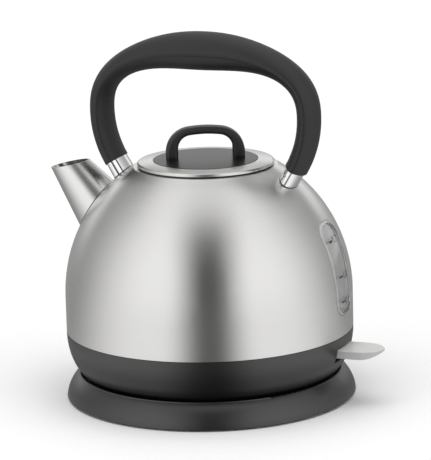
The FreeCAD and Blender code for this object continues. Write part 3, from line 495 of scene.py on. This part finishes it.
floor_shape = bmesh.new()
bmesh.ops.create_grid(floor_shape, x_segments=1, y_segments=1, size=floor_half)
floor_mesh = bpy.data.meshes.new("white_floor")
floor_shape.to_mesh(floor_mesh)
floor_shape.free()
floor = bpy.data.objects.new("white_floor", floor_mesh)
bpy.context.scene.collection.objects.link(floor)
white = Finish("white_sweep", roughness=0.7, specular_ior_level=0.1, emission_strength=1.0)
sheet_white = white.mixed(white.grain(400.0), paper_dark, paper_light)
floor_x, floor_y = white.place()[:2]
floor_x = floor_x - axis_x
spread = (floor_x * floor_x + floor_y * floor_y).root()
across = ((floor_x * math.cos(view_turn) + floor_y * math.sin(view_turn)) / spread).magnitude()
front = (floor_x * math.sin(view_turn) - floor_y * math.cos(view_turn)) / spread
card = (1 - across.between(*gap_sides)) * front.between(*gap_front)
pale_floor = floor_back + floor_gain * front.between(*wall_turn)
# In the steel the sweep is mirrored at half brightness close round the kettle: a painted shadow of the
# kettle.
in_steel = pale_floor * (1 - card_depth * card) * (0.5 + 0.5 * spread.between(*painted_shadow_r))
mirrored = ray(white, "Glossy")
looked_at = ray(white, "Camera").larger(ray(white, "Transmission"))
unlit = (looked_at * spread.between(shadow_r, plain_r)).larger(mirrored)
white.set("Base Color", white.mixed(unlit, sheet_white, black))
white.set("Emission Color", white.mixed(unlit, black, white.mixed(mirrored, plain_white, in_steel)))
floor_mesh.materials.append(white.material)
floor.visible_diffuse = False  # it throws no light up onto the kettle

# Surroundings: a photographer's tent with pale walls left and right of the viewer and a dark gap between
# them, which gives the steel its dark streak. A brighter panel stands behind the kettle, for the lid.
# Where the camera or glass looks at the tent itself, it is plain white.
back_wall = 0.40
front_gain = 0.82
backdrop_gain = 0.62
backdrop_away = (0.6, 0.85)
backdrop_foot = (0.08, 0.17)
backdrop_head = (0.27, 0.42)
panel_gain = 0.55
panel_away = (0.05, 0.45)
panel_foot = (0.42, 0.60)
panel_sides = (0.25, 0.55)
roof_level = 1.08
roof_edge = (0.70, 0.97)
gap_head = (0.80, 0.97)
gap_depth = 0.96
under_edge = (0.55, 0.82)
under_depth = 0.92


class Tent(Finish):
    """The world's nodes, which light the object from all round."""

    def __init__(self):
        self.world = bpy.data.worlds.new("photo_tent")
        self.world.use_nodes = True
        self.tree = self.world.node_tree
        self.shader = self.tree.nodes["Background"]


tent = Tent()
bpy.context.scene.world = tent.world
toward = tent.node("TexCoord", {}, {}, "Generated")
turned = tent.node("VectorRotate", {"rotation_type": "Z_AXIS"}, {"Vector": toward, "Angle": -view_turn})
sideways, away, upward = tent.split(turned)
near = 0.0 - away
side = sideways.magnitude()
gap = (1 - side.between(*gap_sides)) * near.between(*gap_front) * (1 - upward.between(*gap_head))
backdrop = away.between(*backdrop_away) * upward.between(*backdrop_foot)
backdrop = backdrop * (1 - upward.between(*backdrop_head))
panel = away.between(*panel_away) * upward.between(*panel_foot) * (1 - side.between(*panel_sides))
walls = back_wall + front_gain * near.between(*wall_turn) + backdrop_gain * backdrop + panel_gain * panel
roof = upward.between(*roof_edge)
under = (0.0 - upward).between(*under_edge)
level = (walls * (1 - roof) + roof_level * roof) * (1 - gap_depth * gap) * (1 - under_depth * under)
tent_seen = ray(tent, "Camera").larger(ray(tent, "Transmission"))
tent.set("Strength", level + (1 - level) * tent_seen)
tent.set("Color", plain_white)

# Overhead lamp: a broad soft light above the kettle, which gives it its soft shadow. It is hidden from
# the steel, which mirrors the tent and the floor alone.
lamp_watts = 9.0
softbox = bpy.data.lights.new("overhead_softbox", "AREA")
softbox.shape = "RECTANGLE"
softbox.size = 1.6
softbox.size_y = 1.2
softbox.energy = lamp_watts
lamp = bpy.data.objects.new("overhead_softbox", softbox)
lamp.location = (0.0, -0.2, 1.5)
lamp.visible_glossy = False
bpy.context.scene.collection.objects.link(lamp)

# Camera: a long lens two metres away, a little above the kettle, turned towards its lever side and
# rolled by a degree and a half.
view_rise = math.radians(12.93)
view_roll = math.radians(1.515)
view_distance = 2.0
focal_pixels = 3037.0
frame_pixels = 460.0
aim = Vector((axis_x, 0.0, 0.110))
aim_right = 0.00527
back = Vector((math.sin(view_turn) * math.cos(view_rise), -math.cos(view_turn) * math.cos(view_rise),
               math.sin(view_rise)))
level_right = Vector((math.cos(view_turn), math.sin(view_turn), 0.0))
level_up = back.cross(level_right)
right = level_right * math.cos(view_roll) - level_up * math.sin(view_roll)
up = level_right * math.sin(view_roll) + level_up * math.cos(view_roll)
photo_lens = bpy.data.cameras.new("photo_lens")
photo_lens.sensor_width = 36.0
photo_lens.lens = focal_pixels * photo_lens.sensor_width / frame_pixels
camera = bpy.data.objects.new("photo_camera", photo_lens)
bpy.context.scene.collection.objects.link(camera)
stand = aim + right * aim_right + back * view_distance
camera.matrix_world = Matrix.Translation(stand) @ Matrix((right, up, back)).transposed().to_4x4()
bpy.context.scene.camera = camera
bpy.context.scene.view_settings.view_transform = "Standard"
